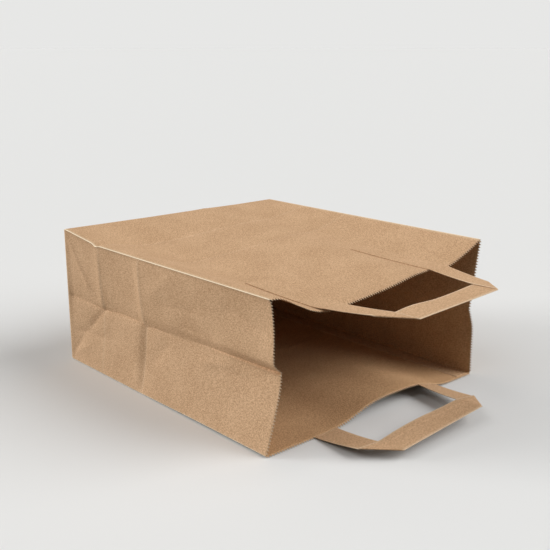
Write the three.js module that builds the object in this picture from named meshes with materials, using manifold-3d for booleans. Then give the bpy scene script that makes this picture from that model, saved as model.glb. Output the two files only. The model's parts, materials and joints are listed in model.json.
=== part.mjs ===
// A kraft paper carrier bag with flat folded handles, lying on its back panel with the mouth open.
// Millimetres, +Z up. X runs across the bag, the block bottom faces +Y, the mouth and handles face -Y.
import * as THREE from "three";
import { mergeVertices } from "three/addons/utils/BufferGeometryUtils.js";
import Module from "manifold-3d";

const wasm = await Module();
wasm.setup();

// Sheet, tube and block bottom
const bagWidth = 220; // across the front and back panels, fold to fold at the mouth
const bagDepth = 110; // across a gusset, pressed flat
const bagHeight = 250; // block bottom to the tips of the mouth
const paperThickness = 0.15;
const bottomOverlap = 24; // how far the second bottom flap covers the first
const glueLap = 16; // inner ply of the lengthwise seam, from the far back fold
const seamSetback = 3; // raw outer edge of the seam, from the same fold

// Pinked mouth
const toothPitch = 2.2;
const toothDepth = 1.8;

// Creases that ran across the tube when the bag was packed flat
const lowerCrease = 50; // from the block bottom, where the gusset folds meet
const upperCrease = 105;

// How the opened paper has relaxed
const baseFlare = 2.5; // the block bottom is wider on each side, as dips draw the folds in at the mouth
const nearGussetValley = 9.5; // depth of the centre crease at the mouth
const nearGussetBulge = 3; // inward belly of the near gusset's upper half, at the mouth
const nearGussetCurl = 8; // and how near the centre crease it turns down into the valley
const farGussetValley = 8;
const farGussetBulge = 1.2; // the same of the far gusset's lower half
const farGussetCurl = 16;
const valleyAtCrease = 2.5; // depth of both valleys at the lower crease
const nearCornerRise = 2; // the block bottom's near front corner stands up
const nearFoldDrop = 5; // and the near front fold sinks, as far as the lower crease
const farFoldLift = 1.4; // the far front fold rises at the mouth
const frontSag = 18.7; // the front panel dips between its folds, at the mouth
const frontSagSkew = 2.1; // more of the dip lies towards the near fold
const frontSagShoulder = 3.7; // it starts steeply at both folds
const frontSagSwell = 1.1; // and has a shallow swell in its far half
const sagShareLower = 0.42; // share of that dip at the lower crease
const sagShareUpper = 0.64; // and at the upper crease
const sagShareHandle = 0.88; // and at the glued ends of the handle
const backHump = 10; // the back panel lifts between its handle's legs, at the mouth
const backHumpWidth = 45;
const backHumpCentre = 17;
const backHumpPower = 3.4; // above 2 the hump's top is flatter than a bell's
const mouthLean = 3; // the mouth's front edge stands this far to the far side of its back edge

// Folded strip handles
const stripWidth = 21.2;
const stripThickness = 0.5;
const legPitch = 109; // between the centre lines of the two legs, where they are glued
const barPitch = 103.8; // and at the bar
const legGlued = 79; // length glued to the panel, from the mouth
const handleReach = 61; // mouth to the outer edge of the bar
const plyGap = 0.2; // between the two plies at a folded corner
const glueGap = 0.3; // between a leg and its panel
const frontHandleShift = 2.4; // the front handle is glued this far to the far side of the middle
const backHandleShift = 0.7; // and the back handle to the near side
const frontBarSlip = 0.8; // both bars hang further to the near side
const backBarSlip = 4;
const frontBarLift = 0.5; // bar above the mean height of its legs at the mouth
const backBarLift = 4.8;
const backBarTilt = 0.04; // rise of that bar along its length

// Fineness of the faceted paper
const panelStep = 18; // between columns across a panel
const rowStep = 27; // between rows along the tube and along a bar
const gussetSteps = [0, 0.07, 0.15, 0.3, 0.5, 0.75, 1]; // shares of half a gusset, from its centre crease
const foldSteps = 6;
const cornerClearance = 4; // from a folded corner of a handle to the bar's first row
const stepRun = 2 * paperThickness; // run of the small ramps at the seam's raw edges
const slack = 1e-6; // for places that should be equal

// Colours and finish of the paper
const sheetColour = 0xc29c78;
const stripColour = 0xc8a485;
const paperRoughness = 0.85;

const baseY = (bagHeight + handleReach) / 2;
const mouthY = baseY - bagHeight;
const mouthRoot = bagHeight - toothDepth;
const gluedEnd = bagHeight - legGlued;
const halfWidth = bagWidth / 2;
const legLift = glueGap + stripThickness; // the back panel clears its own handle by this

// Small number helpers
const mix = (a, b, share) => a + (b - a) * share;
const clamp01 = (value) => Math.min(1, Math.max(0, value));
const ease = (share) => share * share * (3 - 2 * share);
const ramp = (value, from, to) => clamp01((value - from) / (to - from));

// Straight-line interpolation through [position, value] knots in rising order.
function throughKnots(position, knots) {
  let value = knots[0][1];
  for (let i = 1; i < knots.length; i += 1) {
    const share = ramp(position, knots[i - 1][0], knots[i][0]);
    value += share * (knots[i][1] - knots[i - 1][1]);
  }
  return value;
}

// The given stops in rising order, with even steps of at most maxStep between them.
function subdivide(stops, maxStep) {
  const sorted = [...stops].sort((a, b) => a - b);
  const result = [sorted[0]];
  for (let i = 1; i < sorted.length; i += 1) {
    const span = sorted[i] - sorted[i - 1];
    const count = Math.ceil(span / maxStep - slack);
    for (let k = 1; k <= count; k += 1) {
      result.push(sorted[i - 1] + (span * k) / count);
    }
  }
  return result;
}

// Place across the bag of a point at x on its sheet, v from the block bottom. lean is its move at the mouth.
function spread(x, v, lean) {
  const share = v / bagHeight;
  return x * (1 + (baseFlare / halfWidth) * (1 - share)) + lean * share;
}

// Front panel: straight from fold to fold at the block bottom, dished more and more towards the mouth.
function frontPoint(x, v) {
  const across = (x + halfWidth) / bagWidth;
  const nearFold = bagDepth + mix(nearCornerRise, -nearFoldDrop, ramp(v, 0, lowerCrease));
  const farFold = bagDepth + farFoldLift * ramp(v, 0, bagHeight);
  const dip =
    frontSag * Math.sin(Math.PI * across) +
    frontSagSkew * Math.sin(2 * Math.PI * across) +
    frontSagShoulder * Math.sin(3 * Math.PI * across) -
    frontSagSwell * Math.sin(4 * Math.PI * across);
  const share = throughKnots(v, [
    [0, 0],
    [lowerCrease, sagShareLower],
    [upperCrease, sagShareUpper],
    [gluedEnd, sagShareHandle],
    [bagHeight, 1],
  ]);
  const height = mix(nearFold, farFold, across) - dip * share;
  return new THREE.Vector3(spread(x, v, mouthLean / 2), baseY - v, height);
}

// Back panel: flat on the floor as far as the upper crease, then lifted clear of its handle's legs.
// Beyond the seam's raw edge the sheet is one ply further in.
function backPoint(x, v) {
  const lift = legLift * ramp(v, upperCrease, gluedEnd);
  const fromHump = Math.abs(x - backHumpCentre) / backHumpWidth;
  const hump = backHump * Math.exp(-(fromHump ** backHumpPower));
  const humpShare = ease(ramp(v, upperCrease, bagHeight));
  const seamEdge = halfWidth - seamSetback;
  const seam = paperThickness * ramp(x, seamEdge - stepRun / 2, seamEdge + stepRun / 2);
  return new THREE.Vector3(spread(x, v, -mouthLean / 2), baseY - v, lift + hump * humpShare + seam);
}

// Inward set of a gusset. reach is -1 at the back fold, 0 at the centre crease, 1 at the front fold.
// Up to the lower crease it is two flat facets that meet on the diagonal from the bottom's corner:
// one hinged on the block bottom's edge, one on the long fold. Beyond, a valley that deepens to the mouth
// and has one half that curls.
function gussetSet(gusset, reach, v) {
  const away = Math.abs(reach);
  const straight = 1 - away;
  if (v <= lowerCrease) {
    return valleyAtCrease * Math.min(v / lowerCrease, straight);
  }
  const share = (v - lowerCrease) / (bagHeight - lowerCrease);
  const depth = mix(valleyAtCrease, gusset.valley, share);
  if (reach * gusset.curledHalf <= 0) {
    return depth * straight;
  }
  const curl = gusset.curl / (bagDepth / 2);
  const curled = depth * Math.max(0, 1 - away / curl);
  return mix(depth * straight, curled + gusset.bulge * Math.sin(Math.PI * away), share);
}

// side is -1 for the near gusset and 1 for the far one, curledHalf the sign of reach where it curls.
const nearGusset = {
  side: -1,
  curledHalf: 1,
  valley: nearGussetValley,
  bulge: nearGussetBulge,
  curl: nearGussetCurl,
};
const farGusset = {
  side: 1,
  curledHalf: -1,
  valley: farGussetValley,
  bulge: farGussetBulge,
  curl: farGussetCurl,
};

function gussetPoint(gusset, reach, v) {
  const back = backPoint(gusset.side * halfWidth, v);
  const front = frontPoint(gusset.side * halfWidth, v);
  const point = back.lerp(front, (reach + 1) / 2);
  point.x -= gusset.side * gussetSet(gusset, reach, v);
  return point;
}

// Edges of a handle's legs, outer edge first, at their nominal place across the panel.
function legEdges(shift, side) {
  const centre = shift + (side * legPitch) / 2;
  return [centre + (side * stripWidth) / 2, centre - (side * stripWidth) / 2];
}

function panelColumns(shift, extraStops) {
  const legs = [...legEdges(shift, -1), ...legEdges(shift, 1)];
  return subdivide([-halfWidth, halfWidth, ...legs, ...extraStops], panelStep);
}

const seamStops = [seamSetback, glueLap].flatMap((inset) => [
  halfWidth - inset - stepRun / 2,
  halfWidth - inset + stepRun / 2,
]);
const backColumns = panelColumns(-backHandleShift, seamStops);
const frontColumns = panelColumns(frontHandleShift, []);
const gussetColumns = [...gussetSteps.slice(1).map((share) => -share).reverse(), ...gussetSteps];

// Rows cross the tube from the block bottom to the roots of the teeth. Those below the lower crease
// meet the gusset columns on the diagonal folds.
const diagonalRows = gussetSteps.map((share) => lowerCrease * (1 - share)).reverse();
const tubeRows = [
  ...diagonalRows,
  ...subdivide([lowerCrease, upperCrease, gluedEnd, mouthRoot], rowStep).slice(1),
];

// Columns once round the tube, seen from the mouth: back panel, far gusset, front panel, near gusset.
// Each knows its point at a distance from the bottom, its wall, and which way the quads after it are split.
function tubeColumns() {
  const columns = [];
  const flapFrom = halfWidth - glueLap;
  const flapTo = halfWidth - seamSetback;
  for (const x of backColumns.slice(0, -1)) {
    const doubled = x > flapFrom && x < flapTo;
    columns.push({ at: (v) => backPoint(x, v), wall: (doubled ? 2 : 1) * paperThickness, rising: false });
  }
  for (const reach of gussetColumns.slice(0, -1)) {
    columns.push({ at: (v) => gussetPoint(farGusset, reach, v), wall: paperThickness, rising: reach < 0 });
  }
  for (const x of [...frontColumns].reverse().slice(0, -1)) {
    columns.push({ at: (v) => frontPoint(x, v), wall: paperThickness, rising: true });
  }
  for (const reach of [...gussetColumns].reverse().slice(0, -1)) {
    columns.push({ at: (v) => gussetPoint(nearGusset, reach, v), wall: paperThickness, rising: reach > 0 });
  }
  return columns;
}

// Outer skin of the bag: an open surface whose only edge is the zigzag at the mouth.
function bagSkin() {
  const columns = tubeColumns();
  const points = [];
  const walls = [];
  const faces = [];
  const addPoint = (point, wall) => {
    points.push(point);
    walls.push(wall);
    return points.length - 1;
  };
  const grid = tubeRows.map((v) => columns.map((column) => addPoint(column.at(v), column.wall)));
  const lastRow = tubeRows.length - 1;

  columns.forEach((column, i) => {
    const next = (i + 1) % columns.length;
    for (let j = 0; j < lastRow - 1; j += 1) {
      const [a, b] = [grid[j][i], grid[j][next]];
      const [d, c] = [grid[j + 1][i], grid[j + 1][next]];
      if (column.rising) {
        faces.push([a, b, c], [a, c, d]);
      } else {
        faces.push([a, b, d], [b, c, d]);
      }
    }
    addMouthBand(column, columns[next], grid, i, next);
  });

  // Last band of one column: a fan up to the roots, then a triangle for each tooth.
  function addMouthBand(column, nextColumn, rows, i, next) {
    const rootFrom = column.at(mouthRoot);
    const rootTo = nextColumn.at(mouthRoot);
    const tipFrom = column.at(bagHeight);
    const tipTo = nextColumn.at(bagHeight);
    const teeth = Math.max(1, Math.round(rootFrom.distanceTo(rootTo) / toothPitch));
    const below = rows[lastRow - 1];
    let root = rows[lastRow][i];
    for (let k = 1; k <= teeth; k += 1) {
      const nextRoot = k === teeth
        ? rows[lastRow][next]
        : addPoint(rootFrom.clone().lerp(rootTo, k / teeth), column.wall);
      const tip = addPoint(tipFrom.clone().lerp(tipTo, (k - 0.5) / teeth), column.wall);
      faces.push([below[i], nextRoot, root], [root, nextRoot, tip]);
      root = nextRoot;
    }
    faces.push([below[i], below[next], rows[lastRow][next]]);
  }

  const rim = grid[0].map((index) => new THREE.Vector2(points[index].x, points[index].z));
  for (const [a, b, c] of THREE.ShapeUtils.triangulateShape(rim, [])) {
    faces.push([grid[0][a], grid[0][c], grid[0][b]]);
  }
  return { points, walls, faces };
}

// Shell of a skin: each point moves inwards until it lies one wall below every face that meets there.
function shellPoints(points, walls, faces) {
  const sums = points.map(() => ({
    normals: new THREE.Matrix3().multiplyScalar(0),
    pull: new THREE.Vector3(),
  }));
  for (const face of faces) {
    const [p, q, r] = face.map((index) => points[index]);
    const normal = q.clone().sub(p).cross(r.clone().sub(p)).normalize();
    const { x, y, z } = normal;
    const outer = [x * x, x * y, x * z, x * y, y * y, y * z, x * z, y * z, z * z];
    for (const index of face) {
      outer.forEach((value, k) => {
        sums[index].normals.elements[k] += value;
      });
      sums[index].pull.addScaledVector(normal, -walls[index]);
    }
  }
  const softness = 1e-4;
  return points.map((point, index) => {
    const { normals, pull } = sums[index];
    [0, 4, 8].forEach((k) => {
      normals.elements[k] += softness;
    });
    return point.clone().add(pull.applyMatrix3(normals.invert()));
  });
}

// A closed wall from an open skin: the skin, its shell turned over, and a rim along the free edges.
function thicken({ points, walls, faces }) {
  const count = points.length;
  const inner = shellPoints(points, walls, faces);
  const closed = [...faces, ...faces.map(([a, b, c]) => [a + count, c + count, b + count])];
  const edges = new Set(faces.flatMap(([a, b, c]) => [`${a},${b}`, `${b},${c}`, `${c},${a}`]));
  for (const edge of edges) {
    const [a, b] = edge.split(",").map(Number);
    if (!edges.has(`${b},${a}`)) {
      closed.push([b, a, a + count], [b, a + count, b + count]);
    }
  }
  return toGeometry([...points, ...inner], closed);
}

function toGeometry(points, faces) {
  const geometry = new THREE.BufferGeometry();
  geometry.setAttribute("position", new THREE.Float32BufferAttribute(points.flatMap((p) => p.toArray()), 3));
  geometry.setIndex(faces.flat());
  return geometry;
}

function toSolid(geometry) {
  const bare = geometry.clone();
  bare.deleteAttribute("normal");
  bare.deleteAttribute("uv");
  const merged = mergeVertices(bare);
  return new wasm.Manifold(new wasm.Mesh({
    numProp: 3,
    vertProperties: new Float32Array(merged.attributes.position.array),
    triVerts: new Uint32Array(merged.index.array),
  }));
}

function fromSolid(solid) {
  const mesh = solid.getMesh();
  const geometry = new THREE.BufferGeometry();
  geometry.setAttribute("position", new THREE.BufferAttribute(new Float32Array(mesh.vertProperties), 3));
  geometry.setIndex(new THREE.BufferAttribute(new Uint32Array(mesh.triVerts), 1));
  return geometry;
}

// One glued flap of the block bottom: a trapezoid with 45 degree ends, folded over from one long edge.
// plies is how many sheets its face stands above the folded gusset ears.
function bottomFlap(fromFront, plies) {
  const inset = stepRun;
  const baseHalf = halfWidth + baseFlare;
  const reach = (bagDepth + bottomOverlap) / 2;
  const height = (across) => (fromFront ? bagDepth - across : across);
  const shape = new THREE.Shape([
    new THREE.Vector2(-baseHalf + 2 * inset, height(inset)),
    new THREE.Vector2(baseHalf - 2 * inset, height(inset)),
    new THREE.Vector2(baseHalf - reach, height(reach)),
    new THREE.Vector2(-baseHalf + reach, height(reach)),
  ]);
  const rise = plies * paperThickness;
  const flap = new THREE.ExtrudeGeometry(shape, { depth: rise + paperThickness / 2, bevelEnabled: false });
  flap.rotateX(Math.PI / 2);
  flap.translate(0, baseY + rise, 0);
  return flap;
}

function bagBody() {
  return fromSolid(
    toSolid(thicken(bagSkin()))
      .add(toSolid(bottomFlap(false, 1)))
      .add(toSolid(bottomFlap(true, 2))),
  );
}

// Stations of half a handle, from its glued end to the middle of the bar. A station holds matching points
// of the strip's two faces, each with its place across, its distance out from the mouth and its height.
function handleHalf(shift, side, legColumns) {
  const [outerEdge] = legEdges(shift, side);
  const radius = (stripThickness + plyGap) / 2;
  const foldStart = handleReach - stripWidth - (Math.PI * radius) / Math.SQRT2;
  const shares = legColumns.map((x) => Math.abs(x - outerEdge) / stripWidth);
  const flat = (across, out) => shares.map((share) => ({
    top: { across: across(share), out: out(share), height: stripThickness },
    under: { across: across(share), out: out(share), height: 0 },
  }));
  const inward = -side;
  const gluedRows = tubeRows.filter((v) => v > gluedEnd - slack).map((v) => v - bagHeight);
  const freeRows = subdivide([0, foldStart - stripThickness], panelStep);
  const leg = [...gluedRows, ...freeRows].map((row) =>
    flat((share) => outerEdge + inward * share * stripWidth, () => row));

  // The corner: the strip rolls over a fold line at 45 degrees, so its edge slides along that line.
  const corner = [];
  for (let k = 0; k <= foldSteps; k += 1) {
    const angle = (Math.PI * k) / foldSteps;
    const slide = (radius * angle) / Math.SQRT2;
    const face = (share, offset) => {
      const away = ((radius + offset) * Math.sin(angle)) / Math.SQRT2;
      return {
        across: outerEdge + inward * (share * stripWidth + slide - away),
        out: foldStart + share * stripWidth + slide + away,
        height: stripThickness / 2 - radius + (radius + offset) * Math.cos(angle),
      };
    };
    corner.push(shares.map((share) => ({
      top: face(share, stripThickness / 2),
      under: face(share, -stripThickness / 2),
    })));
  }

  // The bar: the turned strip, its first face now underneath, as far as the middle.
  const barInner = handleReach - stripWidth;
  const barFrom = outerEdge + inward * (stripWidth + cornerClearance);
  const barHeight = -2 * radius;
  const barRows = subdivide([0, Math.abs(shift - barFrom)], rowStep);
  const bar = barRows.map((row) => shares.map((share) => {
    const place = { across: barFrom + inward * row, out: barInner + share * stripWidth };
    return {
      top: { ...place, height: barHeight },
      under: { ...place, height: barHeight + stripThickness },
    };
  }));
  return [...leg, ...corner, ...bar];
}

// Solid lofted through rings of points, with a flat cap at each end. Both faces of a strip are split
// along the diagonals of the panel behind it.
function loft(rings) {
  const size = rings[0].length;
  const faces = [];
  for (let i = 0; i + 1 < rings.length; i += 1) {
    for (let k = 0; k < size; k += 1) {
      const next = (k + 1) % size;
      const [a, b] = [i * size + k, i * size + next];
      const [d, c] = [a + size, b + size];
      if (k < size / 2) {
        faces.push([a, b, d], [b, c, d]);
      } else {
        faces.push([a, b, c], [a, c, d]);
      }
    }
  }
  const last = (rings.length - 1) * size;
  for (let k = 0; k + 1 < size / 2; k += 1) {
    const [a, b, c, d] = [k, k + 1, size - 2 - k, size - 1 - k];
    faces.push([a, c, b], [a, d, c]);
    faces.push([last + a, last + b, last + c], [last + a, last + c, last + d]);
  }
  return { points: rings.flat(), faces };
}

// A handle follows its panel where it is glued, and runs straight from the mouth to the bar's own level.
// outwards is 1 for the front panel, whose outside faces up, and -1 for the back panel.
function handle({ panelPoint, columns, shift, barSlip, barLift, barTilt, outwards }) {
  const within = ([a, b]) => columns.filter((x) =>
    x > Math.min(a, b) - slack && x < Math.max(a, b) + slack);
  const nearLeg = within(legEdges(shift, -1));
  const farLeg = within(legEdges(shift, 1)).reverse();
  const roots = [-1, 1].map((side) => panelPoint(shift + (side * legPitch) / 2, bagHeight).z);
  const barLevel = (roots[0] + roots[1]) / 2 + barLift;
  const place = ({ across, out, height }) => {
    const point = panelPoint(across, bagHeight + Math.min(out, 0));
    const free = ramp(out, 0, handleReach - stripWidth);
    const drawn = (barPitch / legPitch - 1) * (across - shift) - barSlip;
    const level = mix(point.z, barLevel + barTilt * (across - shift), free);
    return new THREE.Vector3(point.x + drawn * free, mouthY - out, level + outwards * (glueGap + height));
  };
  const stations = [
    ...handleHalf(shift, -1, nearLeg),
    ...handleHalf(shift, 1, farLeg).reverse().slice(1),
  ];
  const rings = stations.map((station) => [
    ...station.map((pair) => place(pair.top)),
    ...station.map((pair) => place(pair.under)).reverse(),
  ]);
  const { points, faces } = loft(rings);
  return toGeometry(points, outwards < 0 ? faces : faces.map(([a, b, c]) => [a, c, b]));
}

function paperMesh(name, geometry, color) {
  const faceted = geometry.toNonIndexed();
  faceted.computeVertexNormals();
  const material = new THREE.MeshStandardMaterial({ color, roughness: paperRoughness, metalness: 0 });
  const mesh = new THREE.Mesh(faceted, material);
  mesh.name = name;
  return mesh;
}

const frontHandle = handle({
  panelPoint: frontPoint,
  columns: frontColumns,
  shift: frontHandleShift,
  barSlip: frontBarSlip,
  barLift: frontBarLift,
  barTilt: 0,
  outwards: 1,
});
const backHandle = handle({
  panelPoint: backPoint,
  columns: backColumns,
  shift: -backHandleShift,
  barSlip: backBarSlip,
  barLift: backBarLift,
  barTilt: backBarTilt,
  outwards: -1,
});

const bag = new THREE.Group();
bag.name = "paper_carrier_bag";
bag.add(
  paperMesh("bag_body", bagBody(), sheetColour),
  paperMesh("front_handle", frontHandle, stripColour),
  paperMesh("back_handle", backHandle, stripColour),
);

export default bag;
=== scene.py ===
import json
import math

import bmesh
import bpy
import numpy as np
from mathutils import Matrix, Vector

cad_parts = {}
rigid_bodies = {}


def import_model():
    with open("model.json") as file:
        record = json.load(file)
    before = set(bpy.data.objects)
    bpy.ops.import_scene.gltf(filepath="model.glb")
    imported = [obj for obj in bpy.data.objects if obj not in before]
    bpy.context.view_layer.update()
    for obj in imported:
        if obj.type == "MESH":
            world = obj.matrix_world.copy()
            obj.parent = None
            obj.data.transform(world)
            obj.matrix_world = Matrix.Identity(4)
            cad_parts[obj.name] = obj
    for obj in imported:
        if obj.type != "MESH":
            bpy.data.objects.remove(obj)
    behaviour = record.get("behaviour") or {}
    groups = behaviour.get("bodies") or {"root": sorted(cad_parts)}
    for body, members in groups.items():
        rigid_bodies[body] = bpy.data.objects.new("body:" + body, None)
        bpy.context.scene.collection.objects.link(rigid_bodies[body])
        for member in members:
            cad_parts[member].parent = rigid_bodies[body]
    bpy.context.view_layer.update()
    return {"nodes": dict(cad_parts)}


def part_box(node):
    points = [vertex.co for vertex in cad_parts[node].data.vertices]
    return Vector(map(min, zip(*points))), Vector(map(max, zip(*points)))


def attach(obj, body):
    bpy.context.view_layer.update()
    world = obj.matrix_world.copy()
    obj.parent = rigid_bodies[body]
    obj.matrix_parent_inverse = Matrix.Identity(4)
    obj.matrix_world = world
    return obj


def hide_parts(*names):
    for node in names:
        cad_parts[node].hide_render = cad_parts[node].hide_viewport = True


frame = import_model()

print("frame loaded:", sorted(frame["nodes"]))

# The bag's lengths are millimetres in the frame's axes: X across the bag, the block bottom at +Y,
# the mouth and handles at -Y, Z up from the floor. putMesh and thicken turn them into metres.
millimetre = 0.001
uvScale = 0.01  # one UV unit is 100 mm of sheet
mergeDistance = 1e-6  # metres
bodyLow = np.array(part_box("bag_body")[0]) / millimetre


# Small array helpers

def ramp(value, start, end):  # 0 before start, 1 after end, straight between
    return np.clip((value - start) / (end - start), 0.0, 1.0)


def ease(share):  # the same from 0 to 1, but level at both ends
    return share * share * (3.0 - 2.0 * share)


def throughKnots(value, places, levels):
    # a smooth curve through a few points: between two of them a cubic whose slopes
    # are those of the broken line through their neighbours
    places, levels = np.array(places), np.array(levels)
    slopes = np.gradient(levels, places)
    k = np.clip(np.searchsorted(places, value) - 1, 0, len(places) - 2)
    run = places[k + 1] - places[k]
    t = np.clip((value - places[k]) / run, 0.0, 1.0)
    start = (1 + 2 * t) * (1 - t) ** 2 * levels[k] + t * (1 - t) ** 2 * run * slopes[k]
    end = t * t * (3 - 2 * t) * levels[k + 1] - t * t * (1 - t) * run * slopes[k + 1]
    return start + end


def ridgeLines(u, w, lines):
    # each line is a segment on the sheet; the paper moves by "rise" on it,
    # and by less and less with the distance from it, at the rate "spread"
    total = np.zeros(np.broadcast(u, w).shape)
    for line in lines:
        (u0, w0), (u1, w1) = line["ends"]
        du, dw = u1 - u0, w1 - w0
        along = np.clip(((u - u0) * du + (w - w0) * dw) / (du * du + dw * dw), 0.0, 1.0)
        gap = np.hypot(u - u0 - along * du, w - w0 - along * dw)
        total = total + line["rise"] * np.exp(-gap / line["spread"])
    return total


def roundedFold(distance, radius):
    # arc of 45 degrees on each side of a fold: how far a point at that distance
    # slides along its panel, away from the fold, and how far it moves inwards
    angle = math.pi / 4 * (1.0 - np.clip(distance / radius, 0.0, 1.0))
    slide = np.where(distance < radius, radius - radius * np.sin(angle) - distance, 0.0)
    return slide, radius - radius * np.cos(angle)


def putMesh(name, points, faces, corners, attributes, smoothAngle):
    # points in millimetres, faces as lists of indices, corners as one UV pair per face corner
    mesh = bpy.data.meshes.new(name)
    mesh.from_pydata((points * millimetre).tolist(), [], faces)
    layer = mesh.uv_layers.new(name="sheetUV")
    layer.data.foreach_set("uv", corners.astype(np.float32).ravel())
    for key, values in attributes.items():
        field = mesh.attributes.new(key, "FLOAT", "POINT")
        field.data.foreach_set("value", values.astype(np.float32).ravel())
    mesh.shade_smooth()
    mesh.set_sharp_from_angle(angle=math.radians(smoothAngle))
    mesh.update()
    piece = bpy.data.objects.new(name, mesh)
    bpy.context.scene.collection.objects.link(piece)
    return piece


def gridFaces(rows, columns, wrap):
    # quads of a grid stored row by row; with wrap the last column joins the first
    across = columns if wrap else columns - 1
    j, i = np.meshgrid(np.arange(rows - 1), np.arange(across), indexing="ij")
    following = (i + 1) % columns
    row, nextRow = j * columns, (j + 1) * columns
    quads = [row + i, row + following, nextRow + following, nextRow + i]
    return np.stack(quads, axis=-1).reshape(-1, 4)


def gridCorners(u, w):
    # one UV pair per quad corner, from grids with one more column than quads
    corners = [(u[:-1, :-1], w[:-1, :-1]), (u[:-1, 1:], w[:-1, 1:]),
               (u[1:, 1:], w[1:, 1:]), (u[1:, :-1], w[1:, :-1])]
    return np.stack([np.stack(pair, axis=-1) for pair in corners], axis=-2).reshape(-1, 2) * uvScale


def flipQuads(faces, corners):
    # the same quads seen from the other side, with the UVs of their corners
    return faces[:, ::-1], corners.reshape(-1, 4, 2)[:, ::-1].reshape(-1, 2)


def closeSeams(mesh):
    # points that lie on each other become one
    work = bmesh.new()
    work.from_mesh(mesh)
    bmesh.ops.remove_doubles(work, verts=work.verts, dist=mergeDistance)
    work.to_mesh(mesh)
    work.free()


def thicken(piece, thickness, offset, innerSlot=0):
    # a wall of even thickness on the sheet, grown inwards if offset is -1 and outwards if it is 1
    wall = piece.modifiers.new("paperWall", "SOLIDIFY")
    wall.material_offset = innerSlot  # the wall's new side takes that material
    wall.thickness = thickness * millimetre
    wall.offset = offset
    wall.use_even_offset = True


# The sheet: sizes of the folded tube and how the opened paper has relaxed

sheet = {
    "width": 220.0,
    "depth": 110.0,
    "height": 250.0,
    "paper": 0.18,
    "toothPitch": 2.2,
    "toothDepth": 2.1,
    "toothBend": 0.9,  # the knife has bent the teeth of both panels down, clear of the back handle
    "foldRadius": 0.9,
    "baseRadius": 2.2,
    "lowerCrease": 50.0,  # from the block bottom, where the gusset folds meet
    "upperCrease": 105.0,
    "seamSetback": 3.0,  # raw outer edge of the lengthwise seam, from the far back fold
    "seamRun": 0.15,  # half the run of the step at that edge
    "seamLap": 16.0,
    "mouthLean": 3.0,  # the mouth's front edge stands this far to the far side
    "baseFlare": 2.5,  # the base is wider on each side, as dips draw the folds in at the mouth
    "mouthTurn": 0.9,  # the front panel's cut edge turns down by this much between the handle's legs
    "turnRun": 7.0,
    "turnReach": (30.0, 42.0),  # half-width of that stretch: whole, and where it ends
}

frontPanel = {
    "cornerRise": 2.0,  # the base's near corner stands up
    "nearDrop": 3.9,  # and the near fold sinks from there to the lower crease
    "nearNotch": 1.3,  # and has a small dent just before it
    "notchAt": 47.5,
    "notchRun": 3.2,
    "notchReach": 14.0,
    "farLift": 1.4,
    # the mouth edge's dip below the line between the folds, at places across the panel
    "dipKnots": ((-110.0, -102.0, -84.0, -73.0, -62.0, -38.0, 0.0, 46.0, 67.0, 89.0, 110.0),
                 (0.0, 0.7, 9.5, 15.0, 18.3, 18.5, 16.3, 12.1, 14.0, 8.3, 0.0)),
    "shareLower": 0.38,  # shares of that dip at the two creases
    "shareUpper": 0.64,
    "sharePower": 1.2,  # above 1 the rest of it comes in more slowly
    "creaseRise": -0.7,
    "creaseSpread": 1.8,
    "wrinkles": [
        {"ends": ((30.0, 0.0), (20.0, 52.0)), "rise": 0.5, "spread": 7.0},
        {"ends": ((-62.0, 60.0), (-60.0, 112.0)), "rise": -0.6, "spread": 7.0},
        {"ends": ((-84.0, 52.0), (-46.0, 66.0)), "rise": 0.6, "spread": 6.0},
        {"ends": ((-88.0, 130.0), (-30.0, 122.0)), "rise": 0.6, "spread": 5.0},
        {"ends": ((-92.0, 172.0), (-52.0, 142.0)), "rise": -0.5, "spread": 6.0},
        {"ends": ((-20.0, 118.0), (40.0, 150.0)), "rise": 0.35, "spread": 12.0},
        {"ends": ((-30.0, 14.0), (-34.0, 46.0)), "rise": -0.5, "spread": 9.0},
        {"ends": ((70.0, 10.0), (74.0, 96.0)), "rise": -0.4, "spread": 12.0},
    ],
}

backPanel = {
    "lift": 0.8,  # clear of the handle glued under it
    "liftEnd": 170.0,  # where the panel is as high as that
    "hump": 10.0,
    "humpCentre": 17.0,
    "humpWidth": 45.0,
    "humpPower": 3.4,  # above 2 the bell's top is flatter
    "creaseRise": 0.5,
    "creaseSpread": 2.2,
    "wrinkles": [
        {"ends": ((-30.0, 120.0), (10.0, 200.0)), "rise": 0.5, "spread": 14.0},
    ],
}

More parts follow.
